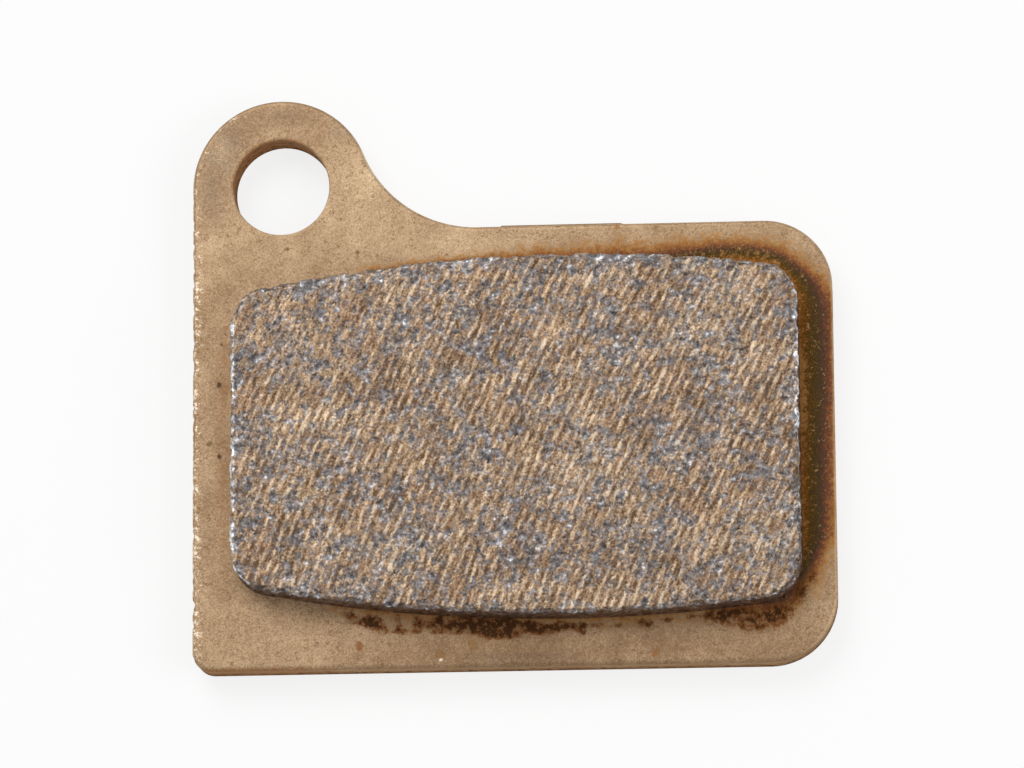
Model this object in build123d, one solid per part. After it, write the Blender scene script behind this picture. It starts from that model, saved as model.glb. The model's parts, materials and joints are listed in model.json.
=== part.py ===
from build123d import *
from math import asin, degrees
import os

# Bicycle disc brake pad: a blanked steel plate with a pin ear, and a sintered friction block on its face.
# Millimetres. Z = 0 is the back face, which the piston pushes on, and +Z is the way the friction face looks.
# The origin is on the axis of the pin bore. X runs along the long side of the plate and Y towards the ear.

# Backing plate
PLATE_WIDTH = 33.0
BODY_HEIGHT = 22.9
PLATE_THICKNESS = 2.0
HEEL_RADIUS = 1.0
TOE_RADIUS = 3.5
DIE_ROLL = 0.15

# Pin ear, whose round end runs on from the straight left side of the plate
EAR_RADIUS = 4.6
EAR_CENTRE_HEIGHT = 25.2
EAR_ROOT_RADIUS = 6.4
PIN_BORE_RADIUS = 2.5

# Sheared land on the top edge, where the blank was held to its strip
LAND_FROM_LEFT = 16.0
LAND_LENGTH = 6.3
LAND_RISE = 0.1

# Friction block
BLOCK_WIDTH = 29.1
BLOCK_HEIGHT = 18.6
BLOCK_THICKNESS = 2.0
BLOCK_FROM_LEFT = 2.15
BLOCK_FROM_BOTTOM = 2.4
BLOCK_CROWN_RADIUS = 83.0
BLOCK_CROWN_FROM_LEFT = 19.3
BLOCK_CORNER_RADIUS = 2.0
BLOCK_EDGE_CHAMFER = 0.15

# Angles in degrees
HALF_TURN = 180
QUARTER_TURN = 90

# Places of the plate's edges, seen from the bore
LEFT = -EAR_RADIUS
RIGHT = LEFT + PLATE_WIDTH
BOTTOM = -EAR_CENTRE_HEIGHT
TOP = BOTTOM + BODY_HEIGHT


def box_outline(x_from, x_to, y_from, y_to):
    """A rectangle between two upright and two level edges."""
    centre = ((x_from + x_to) / 2, (y_from + y_to) / 2)
    return Pos(*centre) * Rectangle(x_to - x_from, y_to - y_from)


def plate_outline():
    """One closed line: over the ear, down its hollow root to the top edge, and round the body."""
    reach = EAR_RADIUS + EAR_ROOT_RADIUS
    lean = degrees(asin((TOP + EAR_ROOT_RADIUS) / reach))
    hollow_centre = Vector(reach, 0).rotate(Axis.Z, lean)
    with BuildSketch() as outline:
        with BuildLine():
            CenterArc((0, 0), EAR_RADIUS, HALF_TURN, lean - HALF_TURN)
            CenterArc(hollow_centre, EAR_ROOT_RADIUS, HALF_TURN + lean, QUARTER_TURN - lean)
            Polyline((hollow_centre.X, TOP), (RIGHT, TOP), (RIGHT, BOTTOM), (LEFT, BOTTOM), (LEFT, 0))
        make_face()
        fillet(outline.vertices().group_by(Axis.X)[-1], TOE_RADIUS)
        fillet(outline.vertices().sort_by_distance((LEFT, BOTTOM))[0], HEEL_RADIUS)
    return outline.face()


def make_backing_plate():
    """The blank, with its rolled-over face edge, its sheared land and the pin bore."""
    blank = extrude(plate_outline(), PLATE_THICKNESS)
    plate = fillet(blank.faces().sort_by(Axis.Z)[-1].edges(), DIE_ROLL)
    land_left = LEFT + LAND_FROM_LEFT
    land = box_outline(land_left, land_left + LAND_LENGTH, TOP - DIE_ROLL, TOP + LAND_RISE)
    plate += extrude(land, PLATE_THICKNESS - DIE_ROLL)
    return plate - extrude(Circle(PIN_BORE_RADIUS), PLATE_THICKNESS)


def block_outline():
    """A barrel: level edges bowed outwards on one radius, with the crown set off towards the toe end."""
    left = LEFT + BLOCK_FROM_LEFT
    lowest = BOTTOM + BLOCK_FROM_BOTTOM
    highest = lowest + BLOCK_HEIGHT
    crown = LEFT + BLOCK_CROWN_FROM_LEFT
    bowed_above = Pos(crown, highest - BLOCK_CROWN_RADIUS) * Circle(BLOCK_CROWN_RADIUS)
    bowed_below = Pos(crown, lowest + BLOCK_CROWN_RADIUS) * Circle(BLOCK_CROWN_RADIUS)
    barrel = (box_outline(left, left + BLOCK_WIDTH, lowest, highest) & bowed_above & bowed_below).face()
    return fillet(barrel.vertices(), BLOCK_CORNER_RADIUS).face()


def make_friction_block():
    """The sintered block, seated on the plate's face, with its rim broken where the face was ground."""
    block = extrude(Pos(0, 0, PLATE_THICKNESS) * block_outline(), BLOCK_THICKNESS)
    rim = block.faces().sort_by(Axis.Z)[-1].edges()
    return chamfer(rim, BLOCK_EDGE_CHAMFER)


os.makedirs("parts", exist_ok=True)
export_step(make_backing_plate(), "parts/backing_plate.step")
export_step(make_friction_block(), "parts/friction_block.step")
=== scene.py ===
import json
from math import asin, ceil, cos, exp, pi, radians, sin, sqrt

import bmesh
import bpy
from mathutils import Matrix, Vector, kdtree, noise


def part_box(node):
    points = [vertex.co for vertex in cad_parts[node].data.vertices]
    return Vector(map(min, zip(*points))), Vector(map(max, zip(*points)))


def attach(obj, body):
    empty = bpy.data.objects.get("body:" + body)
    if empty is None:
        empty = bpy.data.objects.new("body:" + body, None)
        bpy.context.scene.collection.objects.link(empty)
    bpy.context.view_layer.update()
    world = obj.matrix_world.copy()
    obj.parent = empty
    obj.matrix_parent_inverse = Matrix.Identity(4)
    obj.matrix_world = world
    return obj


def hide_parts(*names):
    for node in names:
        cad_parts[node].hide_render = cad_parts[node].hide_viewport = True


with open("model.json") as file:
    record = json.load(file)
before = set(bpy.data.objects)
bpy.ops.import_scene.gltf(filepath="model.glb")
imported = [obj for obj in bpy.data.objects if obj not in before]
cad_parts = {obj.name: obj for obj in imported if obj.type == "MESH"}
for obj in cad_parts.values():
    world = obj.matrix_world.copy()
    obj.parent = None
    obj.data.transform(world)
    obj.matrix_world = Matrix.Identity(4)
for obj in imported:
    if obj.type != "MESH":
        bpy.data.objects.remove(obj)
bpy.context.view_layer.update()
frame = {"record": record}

# Everything below is in millimetres in the part's own frame, and finished meshes are scaled to metres.
# The origin is on the axis of the pin bore, at the back face. X runs along the plate, Y towards the ear.
MM = 0.001

plate_low, plate_high = (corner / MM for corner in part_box("backing_plate"))
block_low, block_high = (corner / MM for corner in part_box("friction_block"))
mounts = {mount["name"]: mount for mount in frame["record"]["mounts"]}

# Backing plate
LEFT, BOTTOM, BACK = plate_low
RIGHT, EAR_TOP, FACE = plate_high
BODY_HEIGHT = 22.9
TOP = BOTTOM + BODY_HEIGHT
EAR_RADIUS = EAR_TOP
EAR_ROOT_RADIUS = 6.4
TOE_RADIUS = 3.5
HEEL_RADIUS = 1.0
BORE_RADIUS = mounts["pin_bore"]["dims"]["r_mm"]
LAND_FROM_LEFT = 16.0
LAND_LENGTH = 6.3
LAND_RISE = 0.1
LAND_LEFT = LEFT + LAND_FROM_LEFT
LAND_RIGHT = LAND_LEFT + LAND_LENGTH

# Sheared edge of the plate: rolled over at the face, smooth below that, torn lower down, its burr broken
EDGE_ROLL = 0.2
BURR_BREAK = 0.05
SHEAR_SETBACK = 0.01
TEAR_FROM = 1.2
TEAR_FULL = 0.7
TEAR_WANDER = 0.25
TEAR_WAVE = 1.3
TEAR_DEPTH = 0.05
TEAR_ROUGHNESS = 0.06
TEAR_GRAIN_WIDTH = 0.3
TEAR_GRAIN_HEIGHT = 0.5
NICK_DEPTH = 0.12
NICK_LENGTH = 0.5
NICK_HEIGHT = 1.5

# Friction block
BLOCK_LEFT, BLOCK_BOTTOM, BLOCK_SEAT = block_low
BLOCK_RIGHT, BLOCK_TOP, GROUND_LEVEL = block_high
BLOCK_MIDDLE = (BLOCK_BOTTOM + BLOCK_TOP) / 2
BLOCK_HALF_HEIGHT = (BLOCK_TOP - BLOCK_BOTTOM) / 2
CROWN_FROM_LEFT = 19.3
CROWN_X = LEFT + CROWN_FROM_LEFT
CROWN_RADIUS = 83.0
BLOCK_CORNER_RADIUS = 2.0
BLOCK_CHAMFER = 0.15

# Mesh pitches and counts
FACE_PITCH = 0.09
OUTLINE_PITCH = 0.15
SHEET_PITCH = 0.15
BLOCK_WALL_RINGS = 11
PLATE_EDGE_BANDS = 12
FOOT_STEPS = 1000

# Grinding marks: arcs left on the block by a large wheel, whose centre is off the lower right of the pad
MARK_ANGLE = radians(66.3)
MARK_SPACING = 0.45
MARK_DEPTH = 0.007
MARK_PATCH = 0.5
WANDER_WIDTH = 1.2
WANDER_LENGTH = 3.0
WANDER_TURN = 2.6
SCRATCH_WIDTH = 0.11
SCRATCH_LENGTH = 0.4
WHEEL_RADIUS = 165.0
WHEEL_AWAY = Vector((sin(MARK_ANGLE), -cos(MARK_ANGLE))) * WHEEL_RADIUS
WHEEL_CENTRE = Vector(((BLOCK_LEFT + BLOCK_RIGHT) / 2, BLOCK_MIDDLE)) + WHEEL_AWAY

# Sintered grains and lumps before grinding, the pits left between them, and the chips along the rim
GRAIN_SIZE = 0.42
LUMP_SIZE = 0.6
LUMP_STRETCH = 1.3
PATCH_SIZE = 2.6
LUMP_HEIGHT = 0.075
PIT_DEPTH = 0.05
PIT_GRAIN = 0.22
RIM_DROP = 0.02
CHIP_SIZE = 0.5
CHIP_SETBACK = 0.06
CHIP_DEPTH = 0.08
RIM_CHIP_DEPTH = 0.05

# Patterns in the block's material. Single grains are finer, and are drawn coarse enough to show.
POWDER_SIZE = 0.12
GRIT_SIZE = 0.28
STROKE_WIDTH = 0.13
STROKE_STRETCH = 3
CLOUD_SIZE = 1.3
COPPER_PATCH = 1.4
BROAD_PATCH = 3.5
GROUND_RELIEF = 0.03

# Patterns in the plate's material. Its real grain is finer, and is drawn coarse enough to show.
PLATING_GRAIN = 0.085
FLECK_SIZE = 0.26
MOTTLE_SIZE = 1.4
SPOT_RAGGEDNESS = 0.3
SPOT_RIM_OUTER = 0.21
SPOT_RIM_INNER = 0.1
PLATING_RELIEF = 0.007
PLATING_TONE = -0.14

# Soot baked on below the block and round its lower right corner, with faint tide marks lower down:
# centre, half length, half height and strength of each blot
SOOT_LIMIT = 1.15
SOOT = [
    (3.45, -22.4, 0.3, 0.25, 0.85),
    (3.7, -22.75, 0.35, 0.2, 0.45),
    (4.6, -22.75, 0.5, 0.27, 1.9),
    (5.25, -23.2, 0.6, 0.3, 0.55),
    (6.0, -22.7, 0.15, 0.3, 0.75),
    (6.15, -23.25, 0.3, 0.22, 0.8),
    (7.0, -22.9, 0.28, 0.34, 1.0),
    (6.9, -23.35, 0.25, 0.15, 0.6),
    (8.1, -22.65, 0.25, 0.26, 1.0),
    (7.75, -23.0, 0.45, 0.22, 0.9),
    (7.95, -23.35, 0.4, 0.15, 0.7),
    (8.85, -23.1, 0.5, 0.36, 1.05),
    (9.75, -23.05, 0.8, 0.34, 1.15),
    (10.8, -23.2, 1.0, 0.4, 1.25),
    (11.75, -23.15, 0.7, 0.38, 1.1),
    (11.2, -23.65, 0.9, 0.16, 0.7),
    (12.7, -23.1, 0.35, 0.33, 1.1),
    (13.35, -23.3, 0.5, 0.3, 1.05),
    (14.2, -23.2, 0.5, 0.3, 1.0),
    (15.1, -23.15, 0.5, 0.24, 1.0),
    (15.4, -23.5, 0.2, 0.2, 0.6),
    (16.1, -23.15, 0.5, 0.15, 0.6),
    (17.25, -23.2, 0.35, 0.16, 0.6),
    (18.6, -23.1, 0.5, 0.28, 0.85),
    (19.7, -22.95, 0.4, 0.18, 0.65),
    (20.9, -22.8, 0.4, 0.2, 0.5),
    (22.3, -22.75, 0.75, 0.4, 1.1),
    (23.4, -22.6, 0.7, 0.25, 0.85),
    (19.0, -24.6, 0.8, 0.1, 0.3),
    (20.7, -24.5, 0.9, 0.1, 0.35),
    (22.4, -24.55, 0.9, 0.1, 0.35),
    (23.9, -24.7, 0.7, 0.1, 0.3),
    (24.2, -23.2, 1.3, 0.55, 0.7),
    (25.4, -22.6, 0.8, 0.5, 0.8),
    (26.5, -21.5, 0.5, 0.6, 0.85),
    (27.1, -20.8, 0.3, 0.5, 0.6),
    (10.6, -22.65, 1.9, 0.22, 0.7),
]

# Grey rubbing on the ear and along the lower edge, in the same terms
RUBBED = [
    (-2.6, 2.4, 1.3, 1.6, 0.92),
    (-3.6, -0.2, 0.9, 2.2, 0.88),
    (3.3, 2.8, 1.2, 1.0, 0.6),
    (0.3, 3.8, 2.0, 0.7, 0.7),
    (12.4, -24.8, 3.6, 0.5, 0.9),
]

# Lighter and darker stretches of the plating, in the same terms with darkening below nought
STRETCHES = [
    (4.2, 0.2, 1.6, 2.6, 0.13),
    (-4.4, -14.0, 0.5, 9.0, 0.02),
    # Painted shadow along the block's left foot
    (-3.0, -14.0, 0.7, 9.0, -0.05),
    (10.0, -3.2, 6.0, 0.9, 0.08),
    (0.0, 3.6, 4.0, 1.4, -0.05),
    (12.0, -24.4, 9.0, 1.0, -0.135),
    (24.0, -24.3, 4.0, 1.0, -0.055),
    (-1.0, -24.2, 4.0, 1.2, 0.05),
    (-3.1, 2.1, 0.5, 0.7, 0.16),
    (-3.6, -2.8, 0.5, 0.8, 0.08),
]

# Single spots on the plating: centre, radius, strength and colour
SPOTS = [
    (0.3, -3.26, 0.1, 0.85, "#5b3f28"),
    (3.94, -3.52, 0.1, 0.85, "#5b3f28"),
    (-3.22, -10.32, 0.12, 0.9, "#3d2a1b"),
    (3.98, -24.04, 0.2, 0.8, "#77492a"),
    (1.79, -23.95, 0.13, 0.5, "#6f5640"),
    (9.8, -24.05, 0.3, 0.5, "#765530"),
    (19.1, -24.65, 0.14, 0.7, "#85582f"),
    (-3.7, -13.4, 0.15, 0.7, "#5b4428"),
    (-3.2, -14.05, 0.1, 0.9, "#3d2a1b"),
    (-3.1, -8.2, 0.07, 0.85, "#4a3322"),
    (8.15, -24.8, 0.06, 0.9, "#e6dccb"),
    (8.1, -24.5, 0.25, 0.55, "#745530"),
    (17.36, -2.49, 0.11, 0.8, "#8a5730"),
]

# What is painted on each piece's points for its material to read
BLOCK_PAINT = ("stand", "mark", "rim_glint", "wall")
PLATE_PAINT = ("oxide_and_shade", "fringe", "soot", "rubbed", "tone_and_painted_light", "grime_and_shade", "flecks")

# Lamps: where each softbox hangs, its width, the share of full white it gives, and the surround's share
KEY_PLACE = (-120, 220, 330)
KEY_WIDTH = 260
KEY_SHARE = 0.42
SIDE_PLACE = (280, -60, 220)
SIDE_WIDTH = 200
SIDE_SHARE = 0.2
FILL_SHARE = 0.38

# White card under the pad, and how far from the bore it starts and ends its fade into the surround
CARD_RADIUS = 2000
CARD_GAP = 0.02
CARD_SIDES = 96
FADE_FROM = 40
FADE_TO = 150

# Camera beyond the lower right of the pad: its place, what it looks at, its level line, its focal length
# in picture widths, its sensor's width, and the nearest distance that it shows
CAMERA_PLACE = Vector((32.39, -65.13, 295.8))
CAMERA_AIM = Vector((11.9, -10.6, 2.0))
CAMERA_LEVEL = Vector((0.99978, -0.02112, 0))
FOCAL_WIDTHS = 5.7
SENSOR_WIDTH = 36
NEAREST_SEEN = 5


def smooth_step(low, high, value):
    """0 at low, 1 at high, and an easy curve between."""
    share = min(1, max(0, (value - low) / (high - low)))
    return share * share * (3 - 2 * share)


def painted(blots, x, y):
    """What a list of soft blots adds up to at a place."""
    return sum(s * exp(-(((x - cx) / a) ** 2) - ((y - cy) / b) ** 2) for cx, cy, a, b, s in blots)


def linear(hex_colour):
    """An sRGB hex colour as the linear RGBA that shaders take."""
    parts = [int(hex_colour[i:i + 2], 16) / 255 for i in (1, 3, 5)]
    return [c / 12.92 if c <= 0.04045 else ((c + 0.055) / 1.055) ** 2.4 for c in parts] + [1]


def finish_piece(bm, name, material):
    """Turns a bmesh in millimetres into a shown piece in metres, riding on the part's one body."""
    bmesh.ops.scale(bm, vec=(MM, MM, MM), verts=bm.verts[:])
    mesh = bpy.data.meshes.new(name)
    bm.to_mesh(mesh)
    bm.free()
    mesh.shade_smooth()
    mesh.materials.append(material)
    piece = bpy.data.objects.new(name, mesh)
    bpy.context.scene.collection.objects.link(piece)
    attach(piece, "root")
    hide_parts(name)
    return piece


# Friction block


def block_half_height(x, inset=0.0):
    """Half the block's height at x: edges bowed on one radius and run into the sides by corner arcs."""
    bow = CROWN_RADIUS - inset
    corner = BLOCK_CORNER_RADIUS - inset
    bow_centre = BLOCK_HALF_HEIGHT - CROWN_RADIUS
    sides = ((-1, BLOCK_LEFT + BLOCK_CORNER_RADIUS), (1, BLOCK_RIGHT - BLOCK_CORNER_RADIUS))
    for side, corner_x in sides:
        reach = corner_x - CROWN_X
        tangent_x = CROWN_X + reach * bow / (bow - corner)
        if side * (x - tangent_x) > 0:
            corner_height = bow_centre + sqrt((bow - corner) ** 2 - reach**2)
            return corner_height + sqrt(max(0, corner**2 - (x - corner_x) ** 2))
    return bow_centre + sqrt(bow**2 - (x - CROWN_X) ** 2)


def block_column(share, inset=0.0):
    """X of a column of points at a share from 0 to 1, closer together where the corner arcs turn steep."""
    corner = BLOCK_CORNER_RADIUS - inset
    left, right = BLOCK_LEFT + inset, BLOCK_RIGHT - inset
    arc = corner * pi / 2
    length = right - left - 2 * corner + 2 * arc
    walked = share * length
    if walked < arc:
        return left + corner - corner * cos(walked / corner)
    if length - walked < arc:
        return right - corner + corner * cos((length - walked) / corner)
    return left + corner + walked - arc


def ground_face(x, y, rim):
    """How far the face lies below the wheel's level, how far grains stand over the cut, and the mark there.

    Wander, strength and scratch each read a slice of the noise of their own, picked by the last number.
    """
    place = Vector((x, y, 0))
    across = (place.xy - WHEEL_CENTRE).length
    along = x * cos(MARK_ANGLE) + y * sin(MARK_ANGLE)
    wander = noise.noise((across / WANDER_WIDTH, along / WANDER_LENGTH, 1.7))
    strength = 0.5 + 0.95 * noise.noise((across / MARK_PATCH, along / MARK_PATCH, 4.1))
    strength *= 1 - 0.6 * smooth_step(9.0, 2.0, x) * smooth_step(-14.0, -8.0, y)
    wave = (0.5 + 0.5 * cos(2 * pi * across / MARK_SPACING + WANDER_TURN * wander)) ** 2
    scratch = noise.noise((across / SCRATCH_WIDTH, along / SCRATCH_LENGTH, 9.3))
    mark = min(1, max(0, 0.35 + strength * (wave - 0.3) + 0.4 * scratch))
    cut = -MARK_DEPTH * (1 - mark)

    grain_centre = noise.voronoi(place / GRAIN_SIZE)[1][0]
    grain = noise.cell(grain_centre * 100)
    drawn_out = Vector((across, along / LUMP_STRETCH, 0.0))
    lumps = noise.fractal(drawn_out / LUMP_SIZE, 0.3, 2.0, 5)
    patch = noise.noise(place / PATCH_SIZE)
    grown = LUMP_HEIGHT * (0.15 * grain + 0.7 * lumps + 0.42 * patch)
    grown -= RIM_DROP * smooth_step(0.8, 0.0, rim) * smooth_step(-23, -17, y)
    stand = grown - cut
    granular = noise.fractal(place / PIT_GRAIN, 0.5, 2.0, 2)
    pit = PIT_DEPTH * smooth_step(0.0, -0.04, stand) * max(0, 0.7 + 0.6 * granular)
    return cut - pit, stand, mark


def block_grid():
    """A fine flat grid from -1 to 1 for the face, and a skirt of rings a step apart, closed at its foot."""
    columns = round((BLOCK_RIGHT - BLOCK_LEFT + (pi - 2) * BLOCK_CORNER_RADIUS) / FACE_PITCH)
    rows = round(2 * BLOCK_HALF_HEIGHT / FACE_PITCH)
    bm = bmesh.new()
    bmesh.ops.create_grid(bm, x_segments=columns, y_segments=rows, size=1)
    ring = [edge for edge in bm.edges if edge.is_boundary]
    for _ in range(BLOCK_WALL_RINGS):
        skirt = bmesh.ops.extrude_edge_only(bm, edges=ring)["geom"]
        lower = [g for g in skirt if isinstance(g, bmesh.types.BMVert)]
        bmesh.ops.translate(bm, verts=lower, vec=(0, 0, -1))
        ring = [g for g in skirt if isinstance(g, bmesh.types.BMEdge) and g.is_boundary]
    bmesh.ops.edgeloop_fill(bm, edges=ring)
    return bm


def friction_block():
    """The sintered block: the grid pulled to the barrel outline, its face ground, its rim and wall chipped.

    Stand and mark are what grinding left; the rim field paints highlight glints on grains along the rim and
    upper wall; wall is how far brown skin and painted shade show.
    """
    bm = block_grid()
    stand, mark, rim_glint, wall = (bm.verts.layers.float.new(name) for name in BLOCK_PAINT)
    wall_drop = (GROUND_LEVEL - BLOCK_CHAMFER - BLOCK_SEAT) / (BLOCK_WALL_RINGS - 1)
    rim_verts = [v for v in bm.verts if max(abs(v.co.x), abs(v.co.y)) > 0.9999]
    for v in bm.verts:
        level = round(-v.co.z)
        inset = 0 if level else BLOCK_CHAMFER
        x = block_column((v.co.x + 1) / 2, inset)
        half = block_half_height(x, inset)
        y = BLOCK_MIDDLE + half * v.co.y
        if level:
            v.co = (x, y, GROUND_LEVEL - BLOCK_CHAMFER - wall_drop * (level - 1))
            v[stand] = LUMP_HEIGHT * 0.7 * noise.fractal(v.co / LUMP_SIZE, 0.4, 2.0, 4) - 0.01
            # Painted highlight: the ring just below the chamfer takes the crests' light colour, except
            # along the lower side
            v[mark] = 0.7 * smooth_step(-21, -16, y) if level == 1 else 0
            heel = smooth_step(BLOCK_LEFT + 3.0, BLOCK_LEFT + 1.0, x) * smooth_step(-18, -20, y)
            # Painted highlight: glints on that ring, fading down the upper wall and stronger round the heel
            # corner
            v[rim_glint] = 0.85 if level == 1 else 0.4 * smooth_step(7, 2, level)
            v[rim_glint] += 0.9 * heel * smooth_step(6, 2, level)
            # Brown deeper down the wall and less round the heel: partly sintered skin, partly painted shade
            skin_and_shade = (0.75 - 0.4 * heel) * smooth_step(2, 6, level + 2.5 * noise.noise(v.co / 0.5))
            # Painted shade: more brown along the block's lower side
            lower_side = smooth_step(BLOCK_BOTTOM + 2.5, BLOCK_BOTTOM + 1.0, y) * (1 - heel)
            lower_side_shade = 0.6 * lower_side * smooth_step(0, 3, level + noise.noise(v.co / 0.4))
            v[wall] = max(skin_and_shade, lower_side_shade)
        else:
            rim = min(x - BLOCK_LEFT, BLOCK_RIGHT - x, half * (1 - abs(v.co.y)))
            drop, v[stand], v[mark] = ground_face(x, y, rim)
            # Painted highlight: glints along the face's rim, left out along its lower edge
            at_rim = smooth_step(BLOCK_CHAMFER + 0.2, BLOCK_CHAMFER, rim)
            v[rim_glint] = 0.4 * at_rim * smooth_step(-21, -15, y)
            v.co = (x, y, GROUND_LEVEL + drop)
        # Painted highlight: glints along the left and right rims
        if level < 2:
            v[rim_glint] += 1.4 * smooth_step(BLOCK_LEFT + 0.32, BLOCK_LEFT + 0.15, x)
            v[rim_glint] += smooth_step(BLOCK_RIGHT - 0.35, BLOCK_RIGHT - 0.15, x) * smooth_step(-17, -13, y)

    bmesh.ops.recalc_face_normals(bm, faces=bm.faces[:])
    bm.normal_update()
    for v in rim_verts:
        if v.co.z > BLOCK_SEAT:
            outward = Vector((v.normal.x, v.normal.y, 0)).normalized()
            chipped = noise.fractal(v.co / CHIP_SIZE, 0.5, 2.0, 3)
            near_rim = smooth_step(BLOCK_SEAT + 1.0, GROUND_LEVEL - 0.4, v.co.z)
            chip = CHIP_DEPTH + RIM_CHIP_DEPTH * near_rim
            v.co -= outward * max(0, CHIP_SETBACK + chip * chipped)
    finish_piece(bm, "friction_block", sintered_metal())


# Backing plate


def run(bm, vert, x, y):
    """Draws a straight stretch of outline from a point in even steps, and returns its far end."""
    way = Vector((x, y, FACE)) - vert.co
    steps = ceil(way.length / OUTLINE_PITCH)
    for _ in range(steps):
        start = vert.co.copy()
        vert = bmesh.ops.extrude_vert_indiv(bm, verts=[vert])["verts"][0]
        vert.co = start + way / steps
    return vert


def bend(bm, vert, x, y, turn):
    """Sweeps an arc of outline round a centre, and returns its far end."""
    centre = Vector((x, y, FACE))
    steps = ceil(abs(turn) * (vert.co - centre).length / OUTLINE_PITCH)
    swept = bmesh.ops.spin(bm, geom=[vert], cent=centre, axis=(0, 0, 1), angle=turn, steps=steps)
    return next(g for g in swept["geom_last"] if isinstance(g, bmesh.types.BMVert))


def trace_plate(bm):
    """The blank's outline in the plane of its face, with the bore."""
    reach = EAR_RADIUS + EAR_ROOT_RADIUS
    lean = asin((TOP + EAR_ROOT_RADIUS) / reach)
    end = bm.verts.new((LEFT, 0, FACE))
    end = bend(bm, end, 0, 0, lean - pi)
    end = bend(bm, end, reach * cos(lean), reach * sin(lean), pi / 2 - lean)
    end = run(bm, end, RIGHT - TOE_RADIUS, TOP)
    end = bend(bm, end, RIGHT - TOE_RADIUS, TOP - TOE_RADIUS, -pi / 2)
    end = run(bm, end, RIGHT, BOTTOM + TOE_RADIUS)
    end = bend(bm, end, RIGHT - TOE_RADIUS, BOTTOM + TOE_RADIUS, -pi / 2)
    end = run(bm, end, LEFT + HEEL_RADIUS, BOTTOM)
    end = bend(bm, end, LEFT + HEEL_RADIUS, BOTTOM + HEEL_RADIUS, -pi / 2)
    run(bm, end, LEFT, 0)
    bore_steps = ceil(2 * pi * BORE_RADIUS / OUTLINE_PITCH)
    on_face = Matrix.Translation((0, 0, FACE))
    bmesh.ops.create_circle(bm, segments=bore_steps, radius=BORE_RADIUS, matrix=on_face)
    bmesh.ops.remove_doubles(bm, verts=bm.verts[:], dist=OUTLINE_PITCH / 10)


def blank_plate():
    """The blank: traced, filled, dropped by its thickness, its edges rounded and its surfaces cut fine."""
    bm = bmesh.new()
    trace_plate(bm)
    bmesh.ops.triangle_fill(bm, edges=bm.edges[:], use_beauty=True, normal=(0, 0, 1))
    dropped = bmesh.ops.extrude_face_region(bm, geom=bm.faces[:])["geom"]
    back_verts = [g for g in dropped if isinstance(g, bmesh.types.BMVert)]
    bmesh.ops.translate(bm, verts=back_verts, vec=(0, 0, BACK - FACE))
    bmesh.ops.recalc_face_normals(bm, faces=bm.faces[:])
    level_edges = [e for e in bm.edges if e.verts[0].co.z == e.verts[1].co.z]
    bmesh.ops.dissolve_limit(bm, angle_limit=0.01, edges=level_edges)

    def is_rim(edge, level):
        """A sharp edge that lies at a level."""
        return all(abs(v.co.z - level) < 1e-4 for v in edge.verts) and edge.calc_face_angle(0) > 1

    def is_bore(edge):
        """An edge round the bore."""
        return all(v.co.xy.length < BORE_RADIUS + EDGE_ROLL / 2 for v in edge.verts)

    rounded = {"profile": 0.5, "affect": "EDGES", "material": -1}
    rolled = [e for e in bm.edges if is_rim(e, FACE) and not is_bore(e)]
    bmesh.ops.bevel(bm, geom=rolled, offset=EDGE_ROLL, segments=6, **rounded)
    broken = [e for e in bm.edges if is_rim(e, BACK) or (is_rim(e, FACE) and is_bore(e))]
    bmesh.ops.bevel(bm, geom=broken, offset=BURR_BREAK, segments=2, **rounded)

    straight_wall = FACE - EDGE_ROLL - BURR_BREAK - BACK
    for i in range(1, PLATE_EDGE_BANDS):
        level = BACK + BURR_BREAK + straight_wall * i / PLATE_EDGE_BANDS
        whole = bm.verts[:] + bm.edges[:] + bm.faces[:]
        bmesh.ops.bisect_plane(bm, geom=whole, plane_co=(0, 0, level), plane_no=(0, 0, 1))
    sheet = [f for f in bm.faces if f.normal.z > 0.995]
    geom = list(set(sheet) | {e for f in sheet for e in f.edges} | {v for f in sheet for v in f.verts})
    for normal, low, high in ((Vector((1, 0, 0)), LEFT, RIGHT), (Vector((0, 1, 0)), BOTTOM, EAR_TOP)):
        cuts = round((high - low) / SHEET_PITCH)
        for i in range(1, cuts):
            place = normal * (low + (high - low) * i / cuts)
            cut = bmesh.ops.bisect_plane(bm, geom=geom, dist=0.01, plane_co=place, plane_no=normal)
            geom = cut["geom"]
    return bm


def shear_edge(bm):
    """Tears the lower part of the plate's edge, raises the land and nicks the left side.

    Wall is the share of bare sheared steel.
    """
    bm.normal_update()
    wall = bm.verts.layers.float.new("wall")
    for v in bm.verts:
        if BACK + BURR_BREAK < v.co.z < FACE - EDGE_ROLL - 0.01 and abs(v.normal.z) < 0.5:
            torn = smooth_step(TEAR_FROM, TEAR_FULL, v.co.z + TEAR_WANDER * noise.noise(v.co / TEAR_WAVE))
            spread = (v.co.x / TEAR_GRAIN_WIDTH, v.co.y / TEAR_GRAIN_WIDTH, v.co.z / TEAR_GRAIN_HEIGHT)
            rough = noise.fractal(spread, 0.6, 2.0, 3)
            v.co -= v.normal * max(0, SHEAR_SETBACK + torn * (TEAR_DEPTH + TEAR_ROUGHNESS * rough))
            foot_line = smooth_step(0.4, 0.1, v.co.z)
            in_bore = v.co.xy.length < BORE_RADIUS + 0.2
            v[wall] = 1 if in_bore else 0.05 + 0.3 * torn + 0.6 * foot_line
            if LAND_LEFT < v.co.x < LAND_RIGHT and v.co.y > TOP - LAND_RISE:
                v.co.y += LAND_RISE
        if v.co.y < 0 and v.co.x < LEFT + EDGE_ROLL:
            nick = max(0, noise.fractal((v.co.y / NICK_LENGTH, v.co.z / NICK_HEIGHT, 3.3), 0.3, 2.0, 3))
            v.co.x += NICK_DEPTH * nick * smooth_step(EDGE_ROLL, 0, v.co.x - LEFT)


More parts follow.
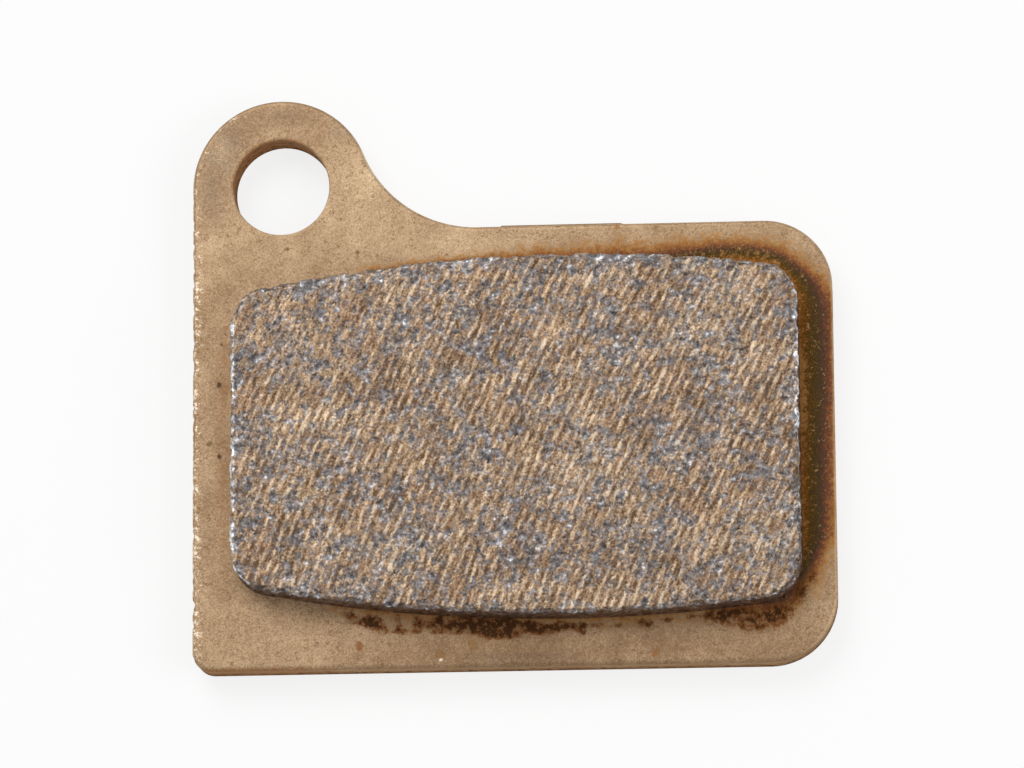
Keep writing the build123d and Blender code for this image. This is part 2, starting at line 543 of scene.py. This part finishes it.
def block_foot():
    """A search tree over points close together along the line where the block stands on the plate."""
    columns = [block_column(i / FOOT_STEPS) for i in range(FOOT_STEPS + 1)]
    points = [(x, BLOCK_MIDDLE + side * block_half_height(x)) for x in columns for side in (-1, 1)]
    for x in (BLOCK_LEFT, BLOCK_RIGHT):
        tall = block_half_height(x)
        points += [(x, BLOCK_MIDDLE + tall * (2 * i / FOOT_STEPS - 1)) for i in range(FOOT_STEPS)]
    tree = kdtree.KDTree(len(points))
    for i, (x, y) in enumerate(points):
        tree.insert((x, y, 0), i)
    tree.balance()
    return tree


def off_block(foot, x, y):
    """Distance from the foot of the block, below nought under it."""
    distance = foot.find((x, y, 0))[2]
    under = BLOCK_LEFT < x < BLOCK_RIGHT and abs(y - BLOCK_MIDDLE) < block_half_height(x)
    return -distance if under else distance


def tint_reach(x, y):
    """Where the furnace tint starts from the block, how far it spreads, and how far its colours went."""
    uneven = noise.fractal((x / 0.9, y / 3.0, 5.2), 0.8, 2.0, 2)
    toe = smooth_step(BLOCK_RIGHT - 1.8, BLOCK_RIGHT + 0.2, x)
    toe *= smooth_step(BLOCK_BOTTOM + 0.8, BLOCK_BOTTOM + 4.2, y)
    toe_reach = 1.6 + 1.2 * smooth_step(-4.0, -7.5, y) - 0.48 * smooth_step(-9.0, -18.0, y)
    toe_reach -= 0.97 * smooth_step(-18.0, -21.5, y)
    start = 0.0
    if y > BLOCK_MIDDLE:
        start = 0.32 * (1 - toe)
        reach = 0.22 + 0.43 * smooth_step(8.0, 13.0, x) + 0.7 * smooth_step(17.0, 24.0, x)
        reach *= 1 + 0.8 * uneven * smooth_step(24.0, 15.0, x)
        strength = 0.2 * smooth_step(3.0, 6.0, x) + 0.06 * smooth_step(14.0, 18.0, x)
        strength += 0.68 * smooth_step(18.5, 24.0, x)
    else:
        # Below the block: a thin brown film, partly tint and partly painted shadow of the block, with more
        # tint towards the toe
        reach = 0.5 + 0.5 * smooth_step(21.0, 26.0, x) + 0.4 * uneven
        strength = 0.09 * smooth_step(1.0, 4.0, x) + 0.28 * smooth_step(21.5, 26.0, x)
    return start, reach + (toe_reach - reach) * toe, strength + (0.93 - strength) * toe


def paint_plate(bm):
    """Paints on the plate's points how far each finish goes there, for the plating's material to read.

    Each step runs between two places or distances in millimetres, or two slants of the surface.
    """
    foot = block_foot()
    fields = {name: bm.verts.layers.float.new(name) for name in PLATE_PAINT}
    for v in bm.verts:
        x, y, z = v.co
        off_axis = v.co.xy.length
        away = off_block(foot, x, y)
        start, reach, strength = tint_reach(x, y)
        past_start = away - start

        # Furnace tint, thinner on the edge and clear beyond its reach; its band below the block is partly
        # painted shadow
        clear = smooth_step(0.0, 0.8, past_start - reach) + smooth_step(0.06, 0.0, strength)
        oxide_and_shade = strength * max(0, 1 - max(0, past_start) / reach) ** 1.5 - 0.4 * clear
        oxide_and_shade -= 0.25 * smooth_step(FACE - EDGE_ROLL, BACK, z)
        oxide_and_shade -= 0.22 * smooth_step(0.97, 0.6, v.normal.z)
        v[fields["oxide_and_shade"]] = oxide_and_shade

        # Flaked tint right of the block's foot and above its top right
        right_foot = 0.85 * smooth_step(0.7, 0.0, away) * smooth_step(BLOCK_RIGHT - 0.5, BLOCK_RIGHT, x)
        right_foot *= smooth_step(-8.0, -10.0, y) * (1 - 0.7 * smooth_step(-12.5, -15.0, y))
        top_band = 0.36 * smooth_step(-6.5, -4.5, y) * smooth_step(17.0, 20.0, x)
        top_band *= smooth_step(reach, 0.6 * reach, past_start)
        v[fields["fringe"]] = max(right_foot, top_band)

        # Soot, rubbing and the plating's own tone with its painted shadow by the block, and a painted
        # highlight on the rolled edge except the lower one
        baked_on = min(SOOT_LIMIT, painted(SOOT, x, y))
        v[fields["soot"]] = baked_on * (0.7 + 0.3 * smooth_step(0.0, 0.35, away))
        v[fields["rubbed"]] = painted(RUBBED, x, y)
        rolled_off = smooth_step(0.97, 0.5, v.normal.z) if z > FACE - EDGE_ROLL else 0
        # Painted highlight on the rolled edge, turned to a slight darkening along the lower edge
        roll_highlight = 0.2 - 0.22 * smooth_step(BOTTOM + 0.7, BOTTOM + 0.2, y)
        v[fields["tone_and_painted_light"]] = painted(STRETCHES, x, y) + PLATING_TONE + roll_highlight * rolled_off

        # Brown grime on the left of the lower edge and left of the block; painted shade on the bore's upper
        # lip and a warm painted shadow below the block's heel
        # Painted shade: brown on the bore's upper lip
        bore_lip = smooth_step(0.3, 0.05, off_axis - BORE_RADIUS) * smooth_step(0.0, 1.5, y - 0.5 * x)
        lower_edge = smooth_step(0.5, 0.0, y - BOTTOM) * smooth_step(7.0, 0.0, x)
        straw = 0.78 * smooth_step(2.0, 0.3, away) * smooth_step(-2.0, -3.0, x)
        straw *= smooth_step(-3.0, -8.0, y)
        # Painted shadow: warm brown below the block's heel
        heel_shadow = 0.8 * smooth_step(1.0, 0.2, away) * smooth_step(-21.0, -22.5, y)
        heel_shadow *= smooth_step(8.0, 2.0, x)
        v[fields["grime_and_shade"]] = max(bore_lip, lower_edge, straw, heel_shadow)

        # Pale flecks where the left edge and the ear are worn
        off_edge = x - LEFT if y < 0 else EAR_RADIUS - off_axis
        worn_edge = smooth_step(1.35, 0.0, off_edge) * smooth_step(1.0, -2.0, x)
        worn_edge *= smooth_step(FACE - 0.7, FACE - 0.2, z)
        v[fields["flecks"]] = worn_edge * (1 - 0.25 * smooth_step(-4.0, 3.0, y))


def backing_plate():
    """The blanked plate with sheared edge and stains, shaded by face size so that the sheet looks flat."""
    bm = blank_plate()
    shear_edge(bm)
    paint_plate(bm)
    piece = finish_piece(bm, "backing_plate", plated_steel())
    piece.modifiers.new("face_weighted", "WEIGHTED_NORMAL")


# Materials

# Settings of a Mix node that mixes colours: factor at socket 0, colours at 6 and 7, the mix at output 2
COLOURS = {"out": 2, "data_type": "RGBA"}


def add(tree, kind, inputs=None, out=0, stops=None, **settings):
    """Adds a node with settings, its sockets' values or links and a ramp's stops, and gives its output."""
    made = tree.nodes.new(kind)
    for name, value in settings.items():
        setattr(made, name, value)
    for name, value in (inputs or {}).items():
        if isinstance(value, bpy.types.NodeSocket):
            tree.links.new(value, made.inputs[name])
        else:
            made.inputs[name].default_value = value
    if stops:
        ramp = made.color_ramp.elements
        for _ in stops[2:]:
            ramp.new(1)
        for element, (position, colour) in zip(ramp, stops):
            element.position = position
            element.color = linear(colour)
    return made.outputs[out] if made.outputs else None


def new_tree(name):
    """A material of this name with an empty node tree."""
    material = bpy.data.materials.new(name)
    material.use_nodes = True
    material.node_tree.nodes.clear()
    return material, material.node_tree


def per(size):
    """The scale that gives a noise texture features of about a size in millimetres."""
    return 1 / (size * MM)


def sintered_metal():
    """Sintered bronze and iron, ground: tan lands in bright strokes, among blue-grey glinting grains."""
    material, tree = new_tree("sintered_metal_ground")
    place = add(tree, "ShaderNodeTexCoord", out="Object")
    stand, mark, rim_glint, wall = (
        add(tree, "ShaderNodeAttribute", out="Fac", attribute_name=name) for name in BLOCK_PAINT
    )
    stroke_way = add(
        tree, "ShaderNodeMapping",
        {"Vector": place, "Rotation": (0, 0, MARK_ANGLE), "Scale": (STROKE_STRETCH, 1, 1)},
        vector_type="TEXTURE",
    )
    fine = add(
        tree, "ShaderNodeTexNoise",
        {"Vector": place, "Scale": per(POWDER_SIZE), "Detail": 3.0, "Roughness": 0.65},
    )
    streak = add(
        tree, "ShaderNodeTexNoise",
        {"Vector": stroke_way, "Scale": per(STROKE_WIDTH), "Detail": 3.0, "Roughness": 0.65},
    )
    grit = add(
        tree, "ShaderNodeTexNoise",
        {"Vector": place, "Scale": per(GRIT_SIZE), "Detail": 2.0, "Roughness": 0.6},
    )
    broad = add(tree, "ShaderNodeTexNoise", {"Vector": place, "Scale": per(BROAD_PATCH), "Detail": 2.0})
    blotch = add(tree, "ShaderNodeTexNoise", {"Vector": place, "Scale": per(COPPER_PATCH), "Detail": 3.0})
    cloud = add(tree, "ShaderNodeTexNoise", {"Vector": place, "Scale": per(CLOUD_SIZE), "Detail": 3.0})

    # Ground lands, where grains stand over the cut, bright on the strokes and redder in patches; the marks
    # lighten crests and darken grooves, partly burnish and partly painted relief shading
    ragged = stand
    for pattern, weight in ((fine, 0.1), (streak, 0.08)):
        ragged = add(tree, "ShaderNodeMath", {0: pattern, 1: weight, 2: ragged}, operation="MULTIPLY_ADD")
    land = add(tree, "ShaderNodeMapRange", {"Value": ragged, "From Min": 0.06, "From Max": 0.11})
    shine = add(tree, "ShaderNodeMath", {0: mark, 1: 0.75}, operation="MULTIPLY")
    for pattern, weight in ((streak, 1.1), (fine, 1.4), (broad, 0.6)):
        shine = add(tree, "ShaderNodeMath", {0: pattern, 1: weight, 2: shine}, operation="MULTIPLY_ADD")
    crest = add(tree, "ShaderNodeMapRange", {"Value": shine, "From Min": 1.4, "From Max": 2.36})
    bronze = add(
        tree, "ShaderNodeValToRGB", {"Fac": crest},
        stops=[
            (0.12, "#4a3727"), (0.3, "#6c5440"), (0.47, "#897159"), (0.66, "#9e866b"),
            (0.88, "#bba993"),
        ],
    )
    coppery = add(
        tree, "ShaderNodeMapRange",
        {"Value": blotch, "From Min": 0.45, "From Max": 0.75, "To Max": 0.35},
    )
    bronze = add(tree, "ShaderNodeMix", {0: coppery, 6: bronze, 7: linear("#7c5d45")}, **COLOURS)

    # Iron grains between the lands, from dark pits to painted white glints, with painted shade in the
    # deepest pits
    speck = add(tree, "ShaderNodeMath", {0: fine, 1: 0.8, 2: 0.1}, operation="MULTIPLY_ADD")
    # Painted highlight: the rim field lifts grains towards the white glints
    for pattern, weight in ((grit, 2.0), (rim_glint, 0.3)):
        speck = add(tree, "ShaderNodeMath", {0: pattern, 1: weight, 2: speck}, operation="MULTIPLY_ADD")
    speck = add(tree, "ShaderNodeMapRange", {"Value": speck, "From Min": 0.8, "From Max": 2.2})
    iron = add(
        tree, "ShaderNodeValToRGB", {"Fac": speck},
        stops=[
            (0.1, "#221f1f"), (0.3, "#454142"), (0.48, "#615d5d"), (0.64, "#7d7a7b"),
            (0.78, "#a4a3a6"), (0.92, "#f2f4f8"),
        ],
    )
    pit_shade = add(tree, "ShaderNodeMapRange", {"Value": stand, "From Min": -0.16, "From Max": -0.03})
    iron = add(tree, "ShaderNodeMix", {0: pit_shade, 6: linear("#433d3c"), 7: iron}, **COLOURS)

    # The two together, clouded, with the brown sintered skin on the wall, which also carries painted shade
    # low on the wall and along the block's lower side
    colour = add(tree, "ShaderNodeMix", {0: land, 6: iron, 7: bronze}, **COLOURS)
    cloudy = add(
        tree, "ShaderNodeMapRange",
        {"Value": cloud, "From Min": 0.25, "From Max": 0.75, "To Min": 0.71, "To Max": 1.27},
    )
    colour = add(tree, "ShaderNodeVectorMath", {0: colour, 1: cloudy}, operation="MULTIPLY")
    skin_and_shade = add(
        tree, "ShaderNodeValToRGB", {"Fac": grit},
        stops=[(0.3, "#3f2c20"), (0.5, "#6e5240"), (0.75, "#a3866b")],
    )
    colour = add(tree, "ShaderNodeMix", {0: wall, 6: colour, 7: skin_and_shade}, **COLOURS)
    rough = add(tree, "ShaderNodeMapRange", {"Value": land, "To Min": 0.5, "To Max": 0.45})
    height = add(tree, "ShaderNodeMath", {0: streak, 1: 0.5, 2: fine}, operation="MULTIPLY_ADD")
    bump = add(tree, "ShaderNodeBump", {"Height": height, "Distance": GROUND_RELIEF * MM, "Strength": 1.0})
    surface = add(
        tree, "ShaderNodeBsdfPrincipled",
        {"Base Color": colour, "Metallic": 0.85, "Roughness": rough, "Normal": bump},
    )
    add(tree, "ShaderNodeOutputMaterial", {"Surface": surface})
    return material


def plated_steel():
    """Copper-plated sheet steel, furnace-tinted: matt tan, fine grain, brown to olive round the block."""
    material, tree = new_tree("copper_plated_steel")
    place = add(tree, "ShaderNodeTexCoord", out="Object")
    oxide_and_shade, fringe, soot, rubbed, tone_and_painted_light, grime_and_shade, flecks, wall = (
        add(tree, "ShaderNodeAttribute", out="Fac", attribute_name=name) for name in PLATE_PAINT + ("wall",)
    )
    grain = add(
        tree, "ShaderNodeTexNoise",
        {"Vector": place, "Scale": per(PLATING_GRAIN), "Detail": 4.0, "Roughness": 0.75},
    )
    fleck = add(
        tree, "ShaderNodeTexNoise",
        {"Vector": place, "Scale": per(FLECK_SIZE), "Detail": 4.0, "Roughness": 0.7},
    )
    mottle = add(
        tree, "ShaderNodeTexNoise",
        {"Vector": place, "Scale": per(MOTTLE_SIZE), "Detail": 4.0, "Roughness": 0.6},
    )

    # Bare plating, greyed where it is rubbed
    # The tone field carries a painted shadow by the block and a painted highlight on the rolled edge
    shade = add(tree, "ShaderNodeMath", {0: grain, 1: tone_and_painted_light}, operation="ADD")
    for pattern, weight in ((fleck, 0.1), (mottle, 0.35)):
        shade = add(tree, "ShaderNodeMath", {0: pattern, 1: weight, 2: shade}, operation="MULTIPLY_ADD")
    plating = add(
        tree, "ShaderNodeValToRGB", {"Fac": shade},
        stops=[
            (0.2, "#5a4633"), (0.47, "#82684e"), (0.62, "#9b8266"), (0.77, "#b2997a"),
            (0.95, "#d6c2a5"),
        ],
    )
    greyed = add(tree, "ShaderNodeMath", {0: fleck, 1: rubbed}, operation="MULTIPLY")
    greyed = add(tree, "ShaderNodeMath", {0: mottle, 1: greyed}, operation="MULTIPLY")
    greyed = add(tree, "ShaderNodeMapRange", {"Value": greyed, "From Min": 0.06, "From Max": 0.42})
    colour = add(
        tree, "ShaderNodeMix", {0: greyed, 6: plating, 7: linear("#b6bac4")},
        blend_type="MULTIPLY", **COLOURS,
    )

    # Pale worn flecks, brown grime with painted shade and shadow, and sparse dark specks
    worn = add(tree, "ShaderNodeMath", {0: flecks, 1: 0.365, 2: fleck}, operation="MULTIPLY_ADD")
    worn = add(tree, "ShaderNodeMath", {0: grain, 1: 0.5, 2: worn}, operation="MULTIPLY_ADD")
    worn = add(
        tree, "ShaderNodeMapRange",
        {"Value": worn, "From Min": 1.12, "From Max": 1.22, "To Max": 0.95},
    )
    grime_and_shade_share = add(tree, "ShaderNodeMath", {0: fleck, 1: grime_and_shade}, operation="MULTIPLY")
    grime_and_shade_share = add(
        tree, "ShaderNodeMapRange",
        {"Value": grime_and_shade_share, "From Min": 0.3, "From Max": 0.55, "To Max": 0.7},
    )
    speckle = add(tree, "ShaderNodeMath", {0: grain, 1: 0.7, 2: fleck}, operation="MULTIPLY_ADD")
    pitted = add(
        tree, "ShaderNodeMapRange",
        {"Value": speckle, "From Min": 0.75, "From Max": 0.68, "To Max": 0.6},
    )
    for share, stain in ((worn, "#e6d8c2"), (grime_and_shade_share, "#84552c"), (pitted, "#6b5036")):
        colour = add(tree, "ShaderNodeMix", {0: share, 6: colour, 7: linear(stain)}, **COLOURS)

    # Furnace tint, in the order of the colours that a film of oxide goes through as it grows; its band
    # below the block is partly painted shadow
    uneven = add(tree, "ShaderNodeMath", {0: fleck, 1: grain}, operation="ADD")
    uneven = add(
        tree, "ShaderNodeMapRange",
        {"Value": uneven, "From Max": 2.0, "To Min": -1.0, "To Max": 1.0},
    )
    loose = add(
        tree, "ShaderNodeMapRange",
        {"Value": oxide_and_shade, "From Max": 0.35, "To Min": 0.6, "To Max": 0.5},
    )
    film = add(tree, "ShaderNodeMath", {0: uneven, 1: loose, 2: oxide_and_shade}, operation="MULTIPLY_ADD")
    tint = add(
        tree, "ShaderNodeValToRGB", {"Fac": film},
        stops=[
            (0.0, "#a0835a"), (0.07, "#8c683b"), (0.16, "#764a28"), (0.27, "#5a3526"), (0.38, "#432e22"),
            (0.5, "#3c2e1b"), (0.63, "#443213"), (0.76, "#543711"), (0.88, "#70461b"), (1.0, "#86572c"),
        ],
    )
    dusky = add(
        tree, "ShaderNodeMapRange",
        {"Value": grain, "From Min": 0.38, "From Max": 0.64, "To Min": 0.75, "To Max": 1.35},
    )
    tint = add(tree, "ShaderNodeVectorMath", {0: tint, 1: dusky}, operation="MULTIPLY")
    peppered = add(
        tree, "ShaderNodeMapRange",
        {"Value": film, "From Min": 0.5, "From Max": 0.2, "To Max": 0.15},
    )
    peppered = add(tree, "ShaderNodeMath", {0: peppered, 1: grain}, operation="ADD")
    peppered = add(
        tree, "ShaderNodeMapRange",
        {"Value": peppered, "From Min": 0.64, "From Max": 0.74, "To Max": 0.75},
    )
    dots = add(
        tree, "ShaderNodeMapRange",
        {"Value": speckle, "From Min": 0.98, "From Max": 1.08, "To Max": 0.85},
    )
    for share, bare in ((peppered, "#94653c"), (dots, "#ac8762")):
        tint = add(tree, "ShaderNodeMix", {0: share, 6: tint, 7: linear(bare)}, **COLOURS)
    cover = add(tree, "ShaderNodeMapRange", {"Value": film, "From Max": 0.07})
    colour = add(tree, "ShaderNodeMix", {0: cover, 6: colour, 7: tint}, **COLOURS)

    # Thin flaked tint, then soot as a smoky haze, a brown halo and a nearly black core
    thin = add(tree, "ShaderNodeMath", {0: uneven, 1: 2.0, 2: fringe}, operation="MULTIPLY_ADD")
    thin = add(
        tree, "ShaderNodeMapRange",
        {"Value": thin, "From Min": 0.35, "From Max": 0.8, "To Max": 0.8},
    )
    smoky = add(
        tree, "ShaderNodeMapRange",
        {"Value": soot, "From Min": 0.05, "From Max": 0.6, "To Max": 0.45},
    )
    stained = add(tree, "ShaderNodeMath", {0: uneven, 1: 1.8, 2: -0.5}, operation="MULTIPLY_ADD")
    stained = add(tree, "ShaderNodeMath", {0: fleck, 1: 3.0, 2: stained}, operation="MULTIPLY_ADD")
    stained = add(tree, "ShaderNodeMath", {0: stained, 1: soot}, operation="MULTIPLY")
    halo = add(
        tree, "ShaderNodeMapRange",
        {"Value": stained, "From Min": 0.32, "From Max": 0.5, "To Max": 0.85},
    )
    sooty = add(
        tree, "ShaderNodeMapRange",
        {"Value": stained, "From Min": 0.62, "From Max": 0.95, "To Max": 0.9},
    )
    for share, stain in ((thin, "#8c643b"), (smoky, "#6a4f2f"), (halo, "#673b1c"), (sooty, "#311f10")):
        colour = add(tree, "ShaderNodeMix", {0: share, 6: colour, 7: linear(stain)}, **COLOURS)

    # Single spots with ragged rims
    for x, y, radius, strength, spot_colour in SPOTS:
        away = add(
            tree, "ShaderNodeVectorMath", {0: place, 1: (x * MM, y * MM, FACE * MM)},
            out=1, operation="DISTANCE",
        )
        away = add(
            tree, "ShaderNodeMath", {0: fleck, 1: SPOT_RAGGEDNESS * MM, 2: away},
            operation="MULTIPLY_ADD",
        )
        outer = (radius + SPOT_RIM_OUTER) * MM
        inner = (radius + SPOT_RIM_INNER) * MM
        spot = add(
            tree, "ShaderNodeMapRange",
            {"Value": away, "From Min": outer, "From Max": inner, "To Max": strength},
        )
        colour = add(tree, "ShaderNodeMix", {0: spot, 6: colour, 7: linear(spot_colour)}, **COLOURS)

    # Bare sheared steel, browned, on the edges and in the bore
    sheared = add(
        tree, "ShaderNodeValToRGB", {"Fac": fleck},
        stops=[(0.3, "#4a2f20"), (0.5, "#744c34"), (0.75, "#9c7250")],
    )
    colour = add(tree, "ShaderNodeMix", {0: wall, 6: colour, 7: sheared}, **COLOURS)
    rough = add(tree, "ShaderNodeMapRange", {"Value": grain, "To Min": 0.4, "To Max": 0.6})
    bump = add(tree, "ShaderNodeBump", {"Height": grain, "Distance": PLATING_RELIEF * MM, "Strength": 1.0})
    surface = add(
        tree, "ShaderNodeBsdfPrincipled",
        {
            "Base Color": colour, "Metallic": 0.85, "Roughness": rough, "Normal": bump,
            "Specular Tint": linear("#dcc2a4"),
        },
    )
    add(tree, "ShaderNodeOutputMaterial", {"Surface": surface})
    return material


# Stage


def seen_share(tree):
    """1 for rays that look at a thing, mirror it or pass through to it, and 0 for the light it gives."""
    straight = add(tree, "ShaderNodeLightPath", out="Is Camera Ray")
    mirrored = add(tree, "ShaderNodeLightPath", out="Is Glossy Ray")
    through = add(tree, "ShaderNodeLightPath", out="Is Transmission Ray")
    seen = add(tree, "ShaderNodeMath", {0: straight, 1: mirrored}, operation="MAXIMUM")
    return add(tree, "ShaderNodeMath", {0: seen, 1: through}, operation="MAXIMUM")


def white_table():
    """A white card that keeps the pad's soft shadow and fades into the white surround."""
    material, tree = new_tree("white_card")
    place = add(tree, "ShaderNodeTexCoord", out="Object")
    distance = add(tree, "ShaderNodeVectorMath", {0: place}, out="Value", operation="LENGTH")
    fade = add(
        tree, "ShaderNodeMapRange",
        {
            "Value": distance, "From Min": FADE_FROM * MM, "From Max": FADE_TO * MM,
            "To Min": 0.8, "To Max": 1.0,
        },
        interpolation_type="SMOOTHSTEP",
    )
    share = add(tree, "ShaderNodeMath", {0: fade, 1: seen_share(tree)}, operation="MULTIPLY")
    card = add(tree, "ShaderNodeBsdfDiffuse", {"Color": linear("#fafafa")})
    glow = add(tree, "ShaderNodeEmission", {"Color": (1, 1, 1, 1), "Strength": 1.0})
    surface = add(tree, "ShaderNodeMixShader", {0: share, 1: card, 2: glow})
    add(tree, "ShaderNodeOutputMaterial", {"Surface": surface})
    bm = bmesh.new()
    bmesh.ops.create_circle(bm, cap_ends=True, segments=CARD_SIDES, radius=CARD_RADIUS * MM)
    bmesh.ops.translate(bm, verts=bm.verts[:], vec=(0, 0, -CARD_GAP * MM))
    mesh = bpy.data.meshes.new("white_table")
    bm.to_mesh(mesh)
    bm.free()
    mesh.materials.append(material)
    table = bpy.data.objects.new("white_table", mesh)
    bpy.context.scene.collection.objects.link(table)


def white_tent():
    """White all round where it is looked at or mirrored, and an even fill for what it lights."""
    world = bpy.data.worlds.new("white_tent")
    bpy.context.scene.world = world
    world.use_nodes = True
    tree = world.node_tree
    tree.nodes.clear()
    seen = seen_share(tree)
    strength = add(tree, "ShaderNodeMapRange", {"Value": seen, "To Min": FILL_SHARE, "To Max": 1.0})
    light = add(tree, "ShaderNodeBackground", {"Color": (1, 1, 1, 1), "Strength": strength})
    add(tree, "ShaderNodeOutputWorld", {"Surface": light})


def softbox(name, place, width, share):
    """A square soft lamp aimed at the pad, as strong as gives a level white face this share of white."""
    lamp = bpy.data.lights.new(name, "AREA")
    lamp.size = width * MM
    aim = Vector(((LEFT + RIGHT) / 2, (BOTTOM + EAR_TOP) / 2, FACE))
    away = Vector(place) - aim
    lamp.energy = share * pi**2 * (away.length * MM) ** 2 / (away.z / away.length)
    made = bpy.data.objects.new(name, lamp)
    made.location = Vector(place) * MM
    made.rotation_euler = away.to_track_quat("Z", "Y").to_euler()
    bpy.context.scene.collection.objects.link(made)


def camera():
    """Looks down on the pad's friction face from a little below and to the right, with a long lens."""
    lens = bpy.data.cameras.new("camera")
    lens.sensor_width = SENSOR_WIDTH
    lens.lens = FOCAL_WIDTHS * SENSOR_WIDTH
    lens.clip_start = NEAREST_SEEN * MM
    ahead = (CAMERA_AIM - CAMERA_PLACE).normalized()
    right = (CAMERA_LEVEL - ahead * CAMERA_LEVEL.dot(ahead)).normalized()
    turn = Matrix((right, right.cross(ahead), -ahead)).transposed().to_4x4()
    made = bpy.data.objects.new("camera", lens)
    made.matrix_world = Matrix.Translation(CAMERA_PLACE * MM) @ turn
    bpy.context.scene.collection.objects.link(made)
    bpy.context.scene.camera = made


backing_plate()
friction_block()
white_table()
white_tent()
softbox("key_softbox", KEY_PLACE, KEY_WIDTH, KEY_SHARE)
softbox("side_softbox", SIDE_PLACE, SIDE_WIDTH, SIDE_SHARE)
camera()
bpy.context.scene.view_settings.view_transform = "Standard"
